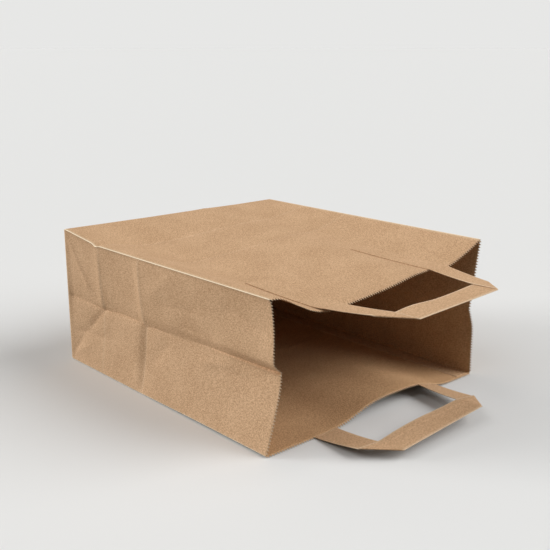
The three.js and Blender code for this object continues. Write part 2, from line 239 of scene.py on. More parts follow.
nearGusset = {
    "valleyLower": 2.8,  # depth of the centre crease at the lower crease
    "valleyMouth": 9.5,
    "bulge": 0.8,
    "lean": 2.2,  # the curled half stands in by this much beside the centre crease
    "belly": 2.0,  # inward belly of the other half, beside the centre crease
    "curl": 8.0,  # how near the centre crease the curled half turns down into the valley
    "curlSoftness": 0.25,
    "curledHalf": 1,  # the half towards the front fold curls
    "lip": 1.3,  # the pressed front fold stands out from the paper beside it
    "lipRun": 1.1,
    # steps of the front half and of the back half along the bag, in from the valley's form
    "upperKnots": ((0.0, 36.0, 43.0, 49.0, 51.0, 57.0, 66.0, 80.0,
                    97.0, 104.5, 107.0, 113.0, 126.0, 150.0, 250.0),
                   (0.0, 0.0, -0.3, -1.2, -0.5, 0.1, 0.5, 0.3,
                    -0.4, -2.0, -1.5, -1.1, -1.0, -1.1, 0.6)),
    "lowerKnots": ((0.0, 60.0, 92.0, 99.0, 105.0, 107.0, 126.0, 250.0),
                   (0.0, 0.0, -0.65, -0.39, 1.3, 1.04, 0.0, 0.0)),
    "groove": 1.6,  # the pressed centre crease lies below the paper beside it
    "grooveAbove": 7.0,
    "grooveBelow": 2.5,
    "wrinkles": [
        {"ends": ((3.0, 106.0), (30.0, 70.0)), "rise": -1.3, "spread": 2.8},
        {"ends": ((30.0, 70.0), (46.0, 59.0)), "rise": -0.9, "spread": 2.8},
        {"ends": ((49.0, 54.0), (33.0, 38.0)), "rise": 1.4, "spread": 3.2},
        {"ends": ((33.0, 38.0), (20.0, 27.0)), "rise": 0.8, "spread": 3.2},
        {"ends": ((17.0, 22.0), (3.0, 4.0)), "rise": 1.1, "spread": 2.8},
        {"ends": ((12.0, 27.0), (50.0, 31.0)), "rise": 1.0, "spread": 3.5},
        {"ends": ((10.0, 8.0), (30.0, 18.0)), "rise": -0.8, "spread": 3.0},
        {"ends": ((60.0, 34.0), (90.0, 14.0)), "rise": 1.5, "spread": 12.0},
        {"ends": ((132.0, 78.0), (168.0, 81.0)), "rise": 0.6, "spread": 4.0},
        {"ends": ((118.0, 84.0), (140.0, 100.0)), "rise": -1.2, "spread": 10.0},
        {"ends": ((155.0, 66.0), (182.0, 64.0)), "rise": 1.7, "spread": 8.0},
        {"ends": ((118.0, 30.0), (130.0, 44.0)), "rise": 1.5, "spread": 7.0},
        {"ends": ((176.0, 44.0), (196.0, 47.0)), "rise": -1.7, "spread": 7.0},
        {"ends": ((190.0, 45.0), (222.0, 41.0)), "rise": 1.3, "spread": 7.0},
        {"ends": ((206.0, 92.0), (236.0, 84.0)), "rise": 2.2, "spread": 13.0},
    ],
}

farGusset = {
    "valleyLower": 2.5,
    "valleyMouth": 8.0,
    "bulge": 1.2,
    "lean": 0.0,
    "belly": 0.0,
    "curl": 16.0,
    "curlSoftness": 0.3,
    "curledHalf": -1,
    "lip": 0.0,
    "lipRun": 1.0,
    "upperKnots": ((0.0, 50.0, 55.0, 104.0, 109.0, 250.0), (0.0, 0.0, 0.8, -0.5, 0.4, 0.0)),
    "lowerKnots": ((0.0, 50.0, 55.0, 104.0, 109.0, 250.0), (0.0, 0.0, 0.6, -0.4, 0.4, 0.0)),
    "groove": 0.6,
    "grooveAbove": 4.0,
    "grooveBelow": 4.0,
    "wrinkles": [
        {"ends": ((6.0, 103.0), (46.0, 59.0)), "rise": -0.7, "spread": 5.0},
        {"ends": ((49.0, 54.0), (6.0, 7.0)), "rise": 0.9, "spread": 5.0},
        {"ends": ((150.0, 30.0), (190.0, 26.0)), "rise": 0.5, "spread": 8.0},
    ],
}

crumples = {
    "start": 6.0,  # within this distance of the base the gussets' crumples grow to their size
    "foldPower": 8,  # and this power of the distance from the centre crease ends them at the folds
    "lipPower": 0.5,  # the lip ends at the back fold by this power of the distance from it
    "panelPower": 0.5,  # the front and back panels' marks end at their folds by this power of a sine
}

halfWidth = sheet["width"] / 2
mouthY = bodyLow[1]
baseY = mouthY + sheet["height"]
toothRoot = sheet["height"] - sheet["toothDepth"]


def alongBag(v):
    # y of a row, and how far the base edge's rounding takes it inwards
    slide, inward = roundedFold(v, sheet["baseRadius"])
    return baseY - (v + slide), inward


def spread(x, v, lean):
    # place across the bag of a point of the sheet: wider at the base, leaning at the mouth
    share = v / sheet["height"]
    return x * (1.0 + sheet["baseFlare"] / halfWidth * (1.0 - share)) + lean * share


def creaseLines(v, panel):
    # a narrow pressed line at each crease that ran across the flat bag
    run = panel["creaseSpread"]
    lower = np.exp(-np.abs(v - sheet["lowerCrease"]) / run)
    upper = np.exp(-np.abs(v - sheet["upperCrease"]) / run)
    return panel["creaseRise"] * (lower + upper)


def mouthTurn(x, v):
    # the panel rises slowly from the upper crease on, and its last stretch turns down again
    # by the square of the distance, so that the edge itself stays where it was
    turnStart = sheet["height"] - sheet["turnRun"]
    rise = ease(ramp(v, sheet["upperCrease"], turnStart)) - ramp(v, turnStart, sheet["height"]) ** 2
    whole, end = sheet["turnReach"]
    return sheet["mouthTurn"] * rise * (1.0 - ease(ramp(np.abs(x), whole, end)))


def foldMargin(distance):
    # rounding at a long fold, and the share of the neighbouring panel's inward move there
    slide, inward = roundedFold(distance, sheet["foldRadius"])
    return slide, inward, np.clip(1.0 - distance / sheet["foldRadius"], 0.0, 1.0)


def frontHeight(x, v):
    # level between the two folds, less the mouth edge's dip
    # times a share that grows from the base to the mouth and bends at both creases
    across = (x + halfWidth) / sheet["width"]
    sunk = ramp(v, 0.0, sheet["lowerCrease"])
    nearFold = sheet["depth"] + frontPanel["cornerRise"] * (1.0 - sunk) - frontPanel["nearDrop"] * sunk
    farFold = sheet["depth"] + frontPanel["farLift"] * ramp(v, 0.0, sheet["height"])
    notch = np.exp(-((v - frontPanel["notchAt"]) / frontPanel["notchRun"]) ** 2)
    notch = frontPanel["nearNotch"] * notch * np.exp(-(x + halfWidth) / frontPanel["notchReach"])
    dip = throughKnots(x, *frontPanel["dipKnots"])
    lower, upper = frontPanel["shareLower"], frontPanel["shareUpper"]
    rest = np.sin(math.pi / 2 * ramp(v, sheet["upperCrease"], sheet["height"])) ** frontPanel["sharePower"]
    share = (lower * ramp(v, 0.0, sheet["lowerCrease"])
             + (upper - lower) * ramp(v, sheet["lowerCrease"], sheet["upperCrease"])
             + (1.0 - upper) * rest)
    calm = np.sin(math.pi * across) ** crumples["panelPower"]  # the small marks fade out at the folds
    marks = creaseLines(v, frontPanel) + ridgeLines(x, v, frontPanel["wrinkles"])
    return nearFold + (farFold - nearFold) * across - notch - dip * share + calm * marks + mouthTurn(x, v)


def backHeight(x, v):
    # flat on the floor up to the upper crease, then lifted a little, with a hump
    # shaped like a bell between the legs of its handle that grows to the mouth
    lift = backPanel["lift"] * ramp(v, sheet["upperCrease"], backPanel["liftEnd"])
    across = np.abs(x - backPanel["humpCentre"]) / backPanel["humpWidth"]
    hump = backPanel["hump"] * np.exp(-across ** backPanel["humpPower"])
    grown = ease(ramp(v, sheet["upperCrease"], sheet["height"]))
    seamEdge = halfWidth - sheet["seamSetback"]
    seam = sheet["paper"] * ramp(x, seamEdge - sheet["seamRun"], seamEdge + sheet["seamRun"])
    marks = np.clip(creaseLines(v, backPanel), 0.0, None) + grown * ridgeLines(x, v, backPanel["wrinkles"])
    calm = np.cos(math.pi / 2 * x / halfWidth) ** crumples["panelPower"]
    return lift + hump * grown + seam + marks * calm


def panelSurface(outwards, x, v):
    # the panel's height over its place, with its two long folds and the base edge rounded;
    # outwards is 1 for the front panel and -1 for the back one
    slide, inward, shared = foldMargin(halfWidth - np.abs(x))
    y, baseInward = alongBag(v)
    panelHeight = frontHeight if outwards > 0 else backHeight
    px = spread(x, v, outwards * sheet["mouthLean"] / 2) - np.sign(x) * (slide + shared * baseInward)
    pz = panelHeight(x, v) - outwards * inward - outwards * baseInward
    return np.stack(np.broadcast_arrays(px, y, pz), axis=-1)


def gussetSet(gusset, reach, v):
    # how far a gusset stands in from the line between its folds; reach is -1 at the back fold,
    # 0 on the centre crease, 1 at the front fold. Below the lower crease: two flat facets that
    # meet on the diagonal from the corner. Above: a valley that deepens to the mouth, with one
    # half that curls and one with a belly. Steps at the creases, the groove of the centre crease,
    # the lip of the front fold and the crumples are added
    away = np.abs(reach)
    lower = sheet["lowerCrease"]
    facets = gusset["valleyLower"] * np.minimum(v / lower, 1.0 - away)
    grown = ramp(v, lower, sheet["height"])
    depth = gusset["valleyLower"] + (gusset["valleyMouth"] - gusset["valleyLower"]) * grown
    valley = depth * (1.0 - away) + gusset["belly"] * grown * np.sin(math.pi * np.sqrt(away))
    turn = 1.0 - away * sheet["depth"] / 2 / gusset["curl"]
    curled = depth * (turn + np.sqrt(turn ** 2 + gusset["curlSoftness"] ** 2)) / 2
    curled = curled + gusset["bulge"] * np.sin(math.pi * away) + gusset["lean"] * (1.0 - away)
    valley = np.where(reach * gusset["curledHalf"] > 0, valley + (curled - valley) * grown, valley)
    lip = gusset["lip"] * (1.0 - np.exp(-(1.0 - reach) * sheet["depth"] / 2 / gusset["lipRun"]))
    steps = np.where(reach > 0, np.interp(v, *gusset["upperKnots"]), np.interp(v, *gusset["lowerKnots"]))
    run = np.where(reach > 0, gusset["grooveAbove"], gusset["grooveBelow"])
    groove = gusset["groove"] * (1.0 - grown) * np.exp(-away * sheet["depth"] / 2 / run)
    marks = steps + groove + ridgeLines(v, (reach + 1.0) / 2 * sheet["depth"], gusset["wrinkles"])
    lip = lip * np.where(reach > 0, 1.0, (1.0 + reach) ** crumples["lipPower"])
    marks = lip + (1.0 - away ** crumples["foldPower"]) * marks
    return np.where(v < lower, facets, valley) + marks * ramp(v, 0.0, crumples["start"])


def gussetSurface(side, gusset, reach, v):
    # straight between its front and back folds, less that set, with the folds rounded;
    # side is -1 for the near gusset and 1 for the far one
    slide, inward, shared = foldMargin((1.0 - np.abs(reach)) * sheet["depth"] / 2)
    y, baseInward = alongBag(v)
    share = (reach + 1.0) / 2
    line = spread(side * halfWidth, v, sheet["mouthLean"] * (share - 0.5))
    backZ, frontZ = backHeight(side * halfWidth, v), frontHeight(side * halfWidth, v)
    px = line - side * (gussetSet(gusset, reach, v) + inward + baseInward)
    pz = backZ + (frontZ - backZ) * share - np.sign(reach) * (slide + shared * baseInward)
    return np.stack(np.broadcast_arrays(px, y, pz), axis=-1)


# The bag body: one grid, once round the tube and from the middle of the base to the mouth

bagBody = {
    "foldStops": (0.0, 0.35, 0.7, 1.2),  # extra columns beside each long fold
    "edgeRows": (0.0, 0.5, 1.2, 2.2),  # extra rows beside the base edge
    # start, end and step of the rows along the bag, closer where the creases are
    "rowBands": ((2.2, 56.0, 1.6), (56.0, 100.0, 2.4), (100.0, 112.0, 1.0),
                 (112.0, 241.0, 3.2), (243.0, 248.0, 1.4)),
    "baseRows": (55.0, 45.0, 34.0, 22.0, 12.0, 5.0, 2.2, 1.2, 0.5),
    "splits": (1, 1, 2, 1),  # columns to a tooth on each panel
    "stopDecimals": 6,  # columns that agree so far are one
    "smoothAngle": 24.0,
    # pale lines along the long folds and the base edge: partly real wear, partly a painted highlight where
    # the rounded folds catch the light
    "wearHighlightWidth": 0.68,
    "wearHighlightShift": 0.35,  # from a fold onto the front or back panel
    "wearHighlightSides": (-1.0, 1.0, -1.0, 1.0, -1.0),  # which way that is, at each fold round the tube
    "baseWearHighlight": 1.1,
    "baseWearHighlightShare": 0.45,
    "creaseWear": 0.9,
    "creaseWearShare": 0.07,
    "edgeWidth": 0.9,
    "edgeShares": (1.0, 0.35, 1.0, 0.35),  # paleness of the cut edge on each panel
    "bendShares": (0.0, 1.0, 0.0, 1.0),  # bend of the teeth on each panel
}


def toothCount(length):
    # whole teeth between the finer columns beside a panel's two folds
    return round((length - 2 * bagBody["foldStops"][-1]) / sheet["toothPitch"])


def panelStops(length, split, extra):
    # distances across one panel, one or more to a tooth, finer beside its two folds,
    # from the first fold up to the last one, which belongs to the next panel
    margin = bagBody["foldStops"][-1]
    even = np.linspace(margin, length - margin, split * toothCount(length) + 1)
    ends = np.array(bagBody["foldStops"])
    stops = np.concatenate([ends, even, length - ends[1:], extra])
    return np.unique(np.round(stops, bagBody["stopDecimals"]))


def panelTeeth(stops, length):
    # the tooth that each interval between columns belongs to, counted along the panel,
    # with the middle and the width of each tooth
    margin = bagBody["foldStops"][-1]
    edges = np.append(stops, length)
    pitch = (length - 2 * margin) / toothCount(length)
    number = np.clip(np.floor(((edges[:-1] + edges[1:]) / 2 - margin) / pitch), -1, toothCount(length))
    first, index = np.unique(number, return_index=True, return_inverse=True)[1:]
    start = edges[first]
    end = np.append(start[1:], length)
    return index, (start + end) / 2, end - start


def roundTheTube(stops, levels):
    # points for distances along each of the four panels, in order: far gusset from back to front,
    # front panel from far to near, near gusset from front to back, back panel from near to far.
    # levels holds their distances from the base, for each panel
    far, front, near, back = stops
    return np.concatenate([
        gussetSurface(1, farGusset, far / sheet["depth"] * 2 - 1, levels[0]),
        panelSurface(1, halfWidth - front, levels[1]),
        gussetSurface(-1, nearGusset, 1 - near / sheet["depth"] * 2, levels[2]),
        panelSurface(-1, back - halfWidth, levels[3]),
    ], axis=-2)


def onTheBase(stops, inset):
    # the same columns carried from the base's outline towards its middle line
    far, front, near, back = stops
    filled = np.full_like
    x = np.concatenate([filled(far, halfWidth), halfWidth - front,
                        filled(near, -halfWidth), back - halfWidth])
    z = np.concatenate([far, filled(front, sheet["depth"]), sheet["depth"] - near, filled(back, 0.0)])
    z = z * (1.0 + frontPanel["cornerRise"] / sheet["depth"] * (0.5 - x / sheet["width"]))
    x = spread(x, 0.0, 0.0)
    middle = sheet["depth"] / 2
    slide, inward = roundedFold(inset, sheet["baseRadius"])
    share = (inset + slide) / middle
    px = x + (np.clip(x, middle - halfWidth, halfWidth - middle) - x) * share
    pz = z + (middle - z) * share
    return np.stack(np.broadcast_arrays(px, baseY - inward, pz), axis=-1)


def makeBagBody():
    # rows from the middle of the base to the mouth times columns round the tube, then the teeth
    lengths = [sheet["depth"], sheet["width"], sheet["depth"], sheet["width"]]
    seamEdge = sheet["width"] - sheet["seamSetback"]
    extras = [[], [], [], [seamEdge - sheet["seamRun"], seamEdge + sheet["seamRun"]]]
    stops = [panelStops(*panel) for panel in zip(lengths, bagBody["splits"], extras)]
    starts = np.concatenate([[0.0], np.cumsum(lengths)])

    bands = [np.arange(*band) for band in bagBody["rowBands"]]
    creases = [sheet["lowerCrease"], sheet["upperCrease"], toothRoot]
    tubeRows = np.unique(np.concatenate([bagBody["edgeRows"], creases] + bands))
    baseRows = np.array(bagBody["baseRows"])
    grid = np.concatenate([
        onTheBase(stops, baseRows[:, None]),
        roundTheTube(stops, [tubeRows[:, None]] * 4),
    ])
    rows, columns = grid.shape[:2]

    # teeth: a point at each tooth's middle, lower where the tooth is narrower
    teeth = [panelTeeth(*panel) for panel in zip(stops, lengths)]
    heights = [toothRoot + sheet["toothDepth"] * np.clip(width / sheet["toothPitch"], 0.0, 1.0)
               for index, middle, width in teeth]
    tips = roundTheTube([middle for index, middle, width in teeth], heights)
    counts = np.cumsum([0] + [len(height) for height in heights])
    fromMiddle = np.abs(teeth[3][1] - halfWidth - handles["backHandle"]["shift"])
    fromLeg = np.abs(fromMiddle - strip["legPitch"] / 2) - strip["width"] / 2
    bends = [np.full(len(height), share) for height, share in zip(heights, bagBody["bendShares"])]
    bends[3] = ramp(fromLeg, 0.0, sheet["toothPitch"])  # none over the legs of the handle under it
    tips[:, 2] -= np.concatenate(bends) * np.clip(tips[:, 2] - sheet["paper"], 0.0, sheet["toothBend"])
    tipOf = np.concatenate([index + count for (index, middle, width), count in zip(teeth, counts)])

    # faces: the quads of the grid, then the triangles from the last row to the tips
    quads = gridFaces(rows, columns, wrap=True)
    root = (rows - 1) * columns + np.arange(columns)
    triangles = np.stack([root, np.roll(root, -1), rows * columns + tipOf], axis=-1)
    s = np.append(np.concatenate([panel + start for panel, start in zip(stops, starts)]), starts[-1])
    v = np.concatenate([-baseRows, tubeRows])
    vGrid, sGrid = np.meshgrid(v, s, indexing="ij")
    tipS = np.concatenate([middle + start for (index, middle, width), start in zip(teeth, starts)])[tipOf]
    tipV = np.concatenate(heights)[tipOf]
    rootV = np.full(columns, toothRoot)
    toothPairs = ((s[:-1], rootV), (s[1:], rootV), (tipS, tipV))
    toothUv = np.stack([np.stack(pair, axis=-1) for pair in toothPairs], axis=1)
    corners = np.concatenate([gridCorners(sGrid, vGrid), toothUv.reshape(-1, 2) * uvScale])

    # rubbed folds and the base edge, paler partly from real wear and partly from a painted highlight, and
    # raw edges, as attributes of the points
    rubbedAndHighlight = starts + bagBody["wearHighlightShift"] * np.array(bagBody["wearHighlightSides"])
    fold = np.abs(s[:-1, None] - rubbedAndHighlight[None, :]).min(axis=1)
    crease = np.minimum(np.abs(v - sheet["lowerCrease"]), np.abs(v - sheet["upperCrease"]))
    along = np.maximum(bagBody["baseWearHighlightShare"] * np.exp(-(v / bagBody["baseWearHighlight"]) ** 2),
                       bagBody["creaseWearShare"] * np.exp(-(crease / bagBody["creaseWear"]) ** 2))
    wearAndHighlight = np.maximum(np.exp(-(fold[None, :] / bagBody["wearHighlightWidth"]) ** 2), along[:, None])
    pale = np.repeat(bagBody["edgeShares"], [len(panel) for panel in stops])
    edge = np.exp(-((sheet["height"] - v[:, None]) / bagBody["edgeWidth"]) ** 2) * pale[None, :]
    attributes = {
        "foldWearAndHighlight": np.concatenate([wearAndHighlight.ravel(), np.zeros(len(tips))]),
        "rawEdge": np.concatenate([edge.ravel(), np.repeat(bagBody["edgeShares"], np.diff(counts))]),
    }
    points = np.concatenate([grid.reshape(-1, 3), tips])
    faces = quads.tolist() + triangles.tolist()
    piece = putMesh("bagBody", points, faces, corners, attributes, bagBody["smoothAngle"])
    closeSeams(piece.data)
    thicken(piece, sheet["paper"], -1.0, innerSlot=1)
    return piece


# Handles: a flat strip of several plies, carried along a path with two folded corners

strip = {
    "width": 21.2,
    "thick": 0.58,
    "plyGap": 0.12,
    "plyStep": 0.1,  # height of the inner ply's edge, on the leg's outer face
    "plyAt": 0.3,  # its place across the strip
    "glueGap": 0.06,
    "legPitch": 109.0,
    "barPitch": 103.8,  # the legs draw together a little towards the bar
    "legGlued": 79.0,
    "reach": 60.7,  # mouth to the bar's outer edge
    "wavePlaces": (0.0, 0.17, 0.5, 0.7, 1.0),  # along the bar, from leg to leg
    "peelRun": 14.0,
    "wearAndHighlight": 0.6,  # of the folded edges, at the bar: pale, partly real wear and partly a painted highlight
    "wearHighlightWidth": 0.6,
    "edgePoints": 5,  # of the section, round a folded edge
    "facePoints": 12,  # and across a face
    "stepRun": 0.06,  # half the run of the inner ply's step
    "gluedStep": 4.0,
    "freeStep": 3.0,
    "turnRun": 6.0,  # before a corner the stations turn to the fold's slope
    "foldLead": 0.2,  # and the last of them stops short of it
    "rowGap": 2.0,  # between two kinds of stations
    "turnRows": 6,
    "foldRows": 8,
    "barRows": 18,
    "smoothAngle": 28.0,
}
stripRadius = (strip["thick"] + strip["plyGap"]) / 2  # of its mid-thickness, at a folded corner

handles = {
    # barLevels: height of the bar's inner edge at the edges of both legs, from near to far
    # barWave: how far that edge stands above the line between them, at the strip's wavePlaces
    # peel: how far each leg's outer edge stands off the panel at the mouth, near leg first
    "frontHandle": {"node": "front_handle", "outwards": 1.0, "shift": 2.4, "barShift": -0.8,
                    "barLevels": (94.7, 92.8, 95.7, 93.3), "barPitchUp": 0.035,
                    "barWave": (0.0, 0.8, -0.8, -0.8, 0.0), "peel": (1.3, 0.3)},
    "backHandle": {"node": "back_handle", "outwards": -1.0, "shift": -0.7, "barShift": -4.0,
                   "barLevels": (7.6, 6.2, 11.8, 8.8), "barPitchUp": 0.06,
                   "barWave": (0.0, 1.2, 1.5, 0.6, 0.0), "peel": (0.0, 0.0)},
}


def stripRing():
    # section of the strip: place across it and height from its mid-thickness, once round.
    # Rounded folded edges, flat faces, and on one face the step of the inner ply's edge
    half = strip["thick"] / 2
    turn = np.linspace(-math.pi / 2, math.pi / 2, strip["edgePoints"])
    flat = np.linspace(half, strip["width"] - half, strip["facePoints"])
    step = strip["plyAt"] * strip["width"]
    stepStart, stepEnd = step - strip["stepRun"], step + strip["stepRun"]
    top = np.unique(np.concatenate([flat, [stepStart, stepEnd]]))[::-1]
    topHeight = half - strip["plyStep"] * ramp(top, stepStart, stepEnd)
    right = (strip["width"] - half + half * np.cos(turn), half * np.sin(turn))
    left = (half - half * np.cos(turn), -half * np.sin(turn))
    right = (right[0], np.minimum(right[1], half - strip["plyStep"]))
    across = np.concatenate([flat[1:-1], right[0], top[1:-1], left[0]])
    height = np.concatenate([np.full(len(flat) - 2, -half), right[1], topHeight[1:-1], left[1]])
    return across, height


def halfPath():
    # stations from the glued end to the middle of the bar. Each gives, for a point at b across
    # and h from mid-thickness, its distance in from the leg's outer edge (slopeX * b + startX),
    # its distance out from the mouth (slopeY * b + startY) and the angle it has rolled at the fold
    slide = math.pi * stripRadius / math.sqrt(2)
    foldStart = strip["reach"] - strip["width"] - slide
    turnRun, gap = strip["turnRun"], strip["rowGap"]
    glued = np.arange(-strip["legGlued"], -gap / 2, strip["gluedStep"])
    free = np.arange(0.0, foldStart - turnRun - gap, strip["freeStep"])
    turn = np.linspace(0.0, 1.0, strip["turnRows"] + 1)
    roll = np.linspace(0.0, math.pi, strip["foldRows"] + 1)
    straight = np.concatenate([glued, free])
    barHalf = strip["legPitch"] / 2 + strip["width"] / 2 - slide
    bar = np.linspace(strip["width"] + gap, barHalf, strip["barRows"])
    beyondFold = len(turn) - 1 + len(bar)
    ones, zeros = np.ones_like, np.zeros_like
    slopeX = np.concatenate([ones(straight), ones(turn), ones(roll), 1 - turn[1:], zeros(bar)])
    startX = np.concatenate([zeros(straight), zeros(turn), slide * roll / math.pi,
                             slide + (strip["width"] + gap / 2) * turn[1:], slide + bar])
    slopeY = np.concatenate([zeros(straight), turn, ones(roll), ones(turn[1:]), ones(bar)])
    startY = np.concatenate([straight, foldStart - turnRun + turnRun * turn - strip["foldLead"],
                             foldStart + slide * roll / math.pi, np.full(beyondFold, foldStart + slide)])
    angle = np.concatenate([zeros(straight), zeros(turn), roll, np.full(beyondFold, math.pi)])
    return [column[:, None] for column in (slopeX, startX, slopeY, startY, angle)]


def makeHandle(name, settings):
    # the section at every station of the path: at a corner it rolls over the fold at 45 degrees,
    # so a point's height turns by the rolled angle about the fold's middle
    across, height = stripRing()
    slopeX, startX, slopeY, startY, angle = halfPath()
    away = (stripRadius + height) * np.sin(angle) / math.sqrt(2)
    inset = slopeX * across + startX - away
    out = slopeY * across + startY + away
    rise = strip["thick"] / 2 - stripRadius + (stripRadius + height) * np.cos(angle)

    # both halves, the far one mirrored and run backwards
    edge = (strip["legPitch"] + strip["width"]) / 2
    x = np.concatenate([settings["shift"] - edge + inset, (settings["shift"] + edge - inset)[-2::-1]])
    out = np.concatenate([out, out[-2::-1]])
    rise = np.concatenate([rise, rise[-2::-1]])

    # on the panel as far as the mouth, then straight from there to the bar's own sloping level
    outwards = settings["outwards"]
    panelHeight = frontHeight if outwards > 0 else backHeight
    halves = np.array([-0.5, 0.5])
    legs = settings["shift"] + halves * strip["legPitch"]
    barInner = strip["reach"] - strip["width"]
    edges = np.concatenate([legs[0] + halves * strip["width"], legs[1] + halves * strip["width"]])
    barLevel = np.interp(x, edges, settings["barLevels"]) + settings["barPitchUp"] * (out - barInner)
    wave = throughKnots(ramp(x, edges[1], edges[2]), strip["wavePlaces"], settings["barWave"])
    barLevel = barLevel + wave * (1.0 - ramp(out, barInner, strip["reach"]))
    v = sheet["height"] + np.minimum(out, 0.0)
    free = ramp(out, 0.0, barInner)
    fromLeg = (np.abs(x - settings["shift"]) - strip["legPitch"] / 2) / strip["width"]
    outerEdge = np.clip(fromLeg + 0.5, 0.0, 1.0)  # 0 on a leg's inner edge, 1 on its outer one
    peel = np.where(x < settings["shift"], *settings["peel"]) * outerEdge
    peel = peel * ramp(out, -strip["peelRun"], 0.0) ** 2
    level = panelHeight(x, v) + outwards * peel
    level = level + (barLevel - level) * free
    drawn = (strip["barPitch"] / strip["legPitch"] - 1.0) * (x - settings["shift"]) + settings["barShift"]
    px = spread(x, v, outwards * sheet["mouthLean"] / 2) + drawn * free
    points = np.stack([px, mouthY - out, level + outwards * (strip["glueGap"] + rise)], axis=-1)

    rows, columns = points.shape[:2]
    faces = gridFaces(rows, columns, wrap=True)
    first, last = np.arange(columns), (rows - 1) * columns + np.arange(columns)
    caps = [first[::-1], last]
    steps = np.linalg.norm(np.diff(points.mean(axis=1), axis=0), axis=-1)
    length = np.concatenate([[0.0], np.cumsum(steps)])
    lengthGrid, acrossGrid = np.meshgrid(length, np.append(across, across[0]), indexing="ij")
    corners = gridCorners(acrossGrid, lengthGrid)
    if outwards < 0:
        faces, corners = flipQuads(faces, corners)
        caps = [cap[::-1] for cap in caps]
    capUv = np.tile(np.stack([across, height], axis=-1) * uvScale, (2, 1))
    # pale line along the bar's folded edges: partly real wear, partly a painted highlight
    wearAndHighlight = np.exp(-(np.minimum(across, strip["width"] - across) / strip["wearHighlightWidth"]) ** 2) * free
    attributes = {"foldWearAndHighlight": strip["wearAndHighlight"] * wearAndHighlight, "rawEdge": np.zeros((rows, columns))}
    return putMesh(name, points.reshape(-1, 3), faces.tolist() + [cap.tolist() for cap in caps],
                   np.concatenate([corners, capUv]), attributes, strip["smoothAngle"])


# Block bottom flaps and the seam's inner ply: thin patches of the same sheet

flaps = {
    "overlap": 24.0,
    "rows": 24,
    "columns": 60,
    "start": 1.0,  # first row, from the fold
    "sink": 0.25,  # the flap comes out of the base at its fold
    "emerge": 3.0,
    "endInset": 0.6,  # of the sloping ends, from the base's own
    "overRun": (4.0, 0.5),  # before the lower flap's edge the upper one starts to rise, and is up
    "wave": 0.12,
    "waveRuns": (17.0, 11.0),  # across and up the base
    "waveRamp": (4.0, 20.0),  # from either fold, where the wave starts and is whole
    "plyGap": 0.03,
    "edgeBand": 0.35,
    "edgeShare": 0.35,  # of the mouth's paleness
}


def makeFlap(name, fromFront, plies):
    # u runs along the fold and w away from it; the ends slope in at 45 degrees. The height is a
    # rise out of the base, a step over the lower flap and a product of two sines, all added
    reach = (sheet["depth"] + flaps["overlap"]) / 2
    start = flaps["start"]
    w = np.linspace(start, reach, flaps["rows"])[:, None]
    u = np.linspace(-1.0, 1.0, flaps["columns"])[None, :]
    x = u * (halfWidth + sheet["baseFlare"] - flaps["endInset"] - w)
    z = np.broadcast_to(sheet["depth"] - w if fromFront else w, x.shape)
    ply = sheet["paper"]
    underEdge = sheet["depth"] - reach  # where the upper flap passes over the lower one's edge
    before, upAt = flaps["overRun"]
    over = (ply + flaps["plyGap"]) * (plies - 1) * ease(ramp(w, underEdge - before, underEdge - upAt))
    waveX, waveZ = flaps["waveRuns"]
    whole = ramp(np.minimum(w, sheet["depth"] - w), *flaps["waveRamp"])
    ripple = flaps["wave"] * np.sin(x / waveX) * np.sin(z / waveZ) * whole
    emerged = ease(ramp(w, start, start + flaps["emerge"]))
    lift = -flaps["sink"] + (flaps["sink"] + flaps["plyGap"]) * emerged
    y = baseY + lift + over + np.abs(ripple)
    points = np.stack(np.broadcast_arrays(x, y, z), axis=-1)
    faces = gridFaces(flaps["rows"], flaps["columns"], wrap=False)
    corners = gridCorners(x, np.broadcast_to(-w, x.shape))
    if not fromFront:
        faces, corners = flipQuads(faces, corners)
    raw = np.exp(-((reach - w) / flaps["edgeBand"]) ** 2) * np.ones_like(x)
    ends = np.exp(-((1.0 - np.abs(u)) * (halfWidth - w) / flaps["edgeBand"]) ** 2)
    attributes = {"foldWearAndHighlight": np.zeros(x.shape), "rawEdge": flaps["edgeShare"] * np.maximum(raw, ends)}
    piece = putMesh(name, points.reshape(-1, 3), faces.tolist(), corners, attributes, bagBody["smoothAngle"])
    thicken(piece, ply, 1.0)
    return piece


seamLap = {
    "start": 1.5,  # from the base edge
    "rows": 90,
    "columns": 9,
    "clear": 0.3,  # of the seam's raw outer edge
    "gap": 0.01,  # over the panel
    "plyShare": 0.6,  # of the paper's thickness
    "edgeShare": 0.3,
}


def makeSeamLap():
    # the back panel's own surface, raised by the paper's thickness and a small gap: a strip along
    # its inside, from the seam's raw outer edge inwards
    v = np.linspace(seamLap["start"], toothRoot, seamLap["rows"])[:, None]
    outer = sheet["seamSetback"] + seamLap["clear"]
    inset = np.linspace(outer, sheet["seamLap"], seamLap["columns"])[None, :]
    raised = np.array([0.0, 0.0, sheet["paper"] + seamLap["gap"]])
    points = panelSurface(-1, halfWidth - inset, v) + raised
    faces = gridFaces(seamLap["rows"], seamLap["columns"], wrap=False)
    corners = gridCorners(*np.broadcast_arrays(inset, v))
    raw = np.exp(-((sheet["seamLap"] - inset) / flaps["edgeBand"]) ** 2) * np.ones_like(v)
    attributes = {"foldWearAndHighlight": np.zeros(raw.shape), "rawEdge": seamLap["edgeShare"] * raw}
    piece = putMesh("seamLap", points.reshape(-1, 3), faces.tolist(), corners, attributes,
                    bagBody["smoothAngle"])
    thicken(piece, seamLap["plyShare"] * sheet["paper"], 1.0)
    return piece


# Kraft paper

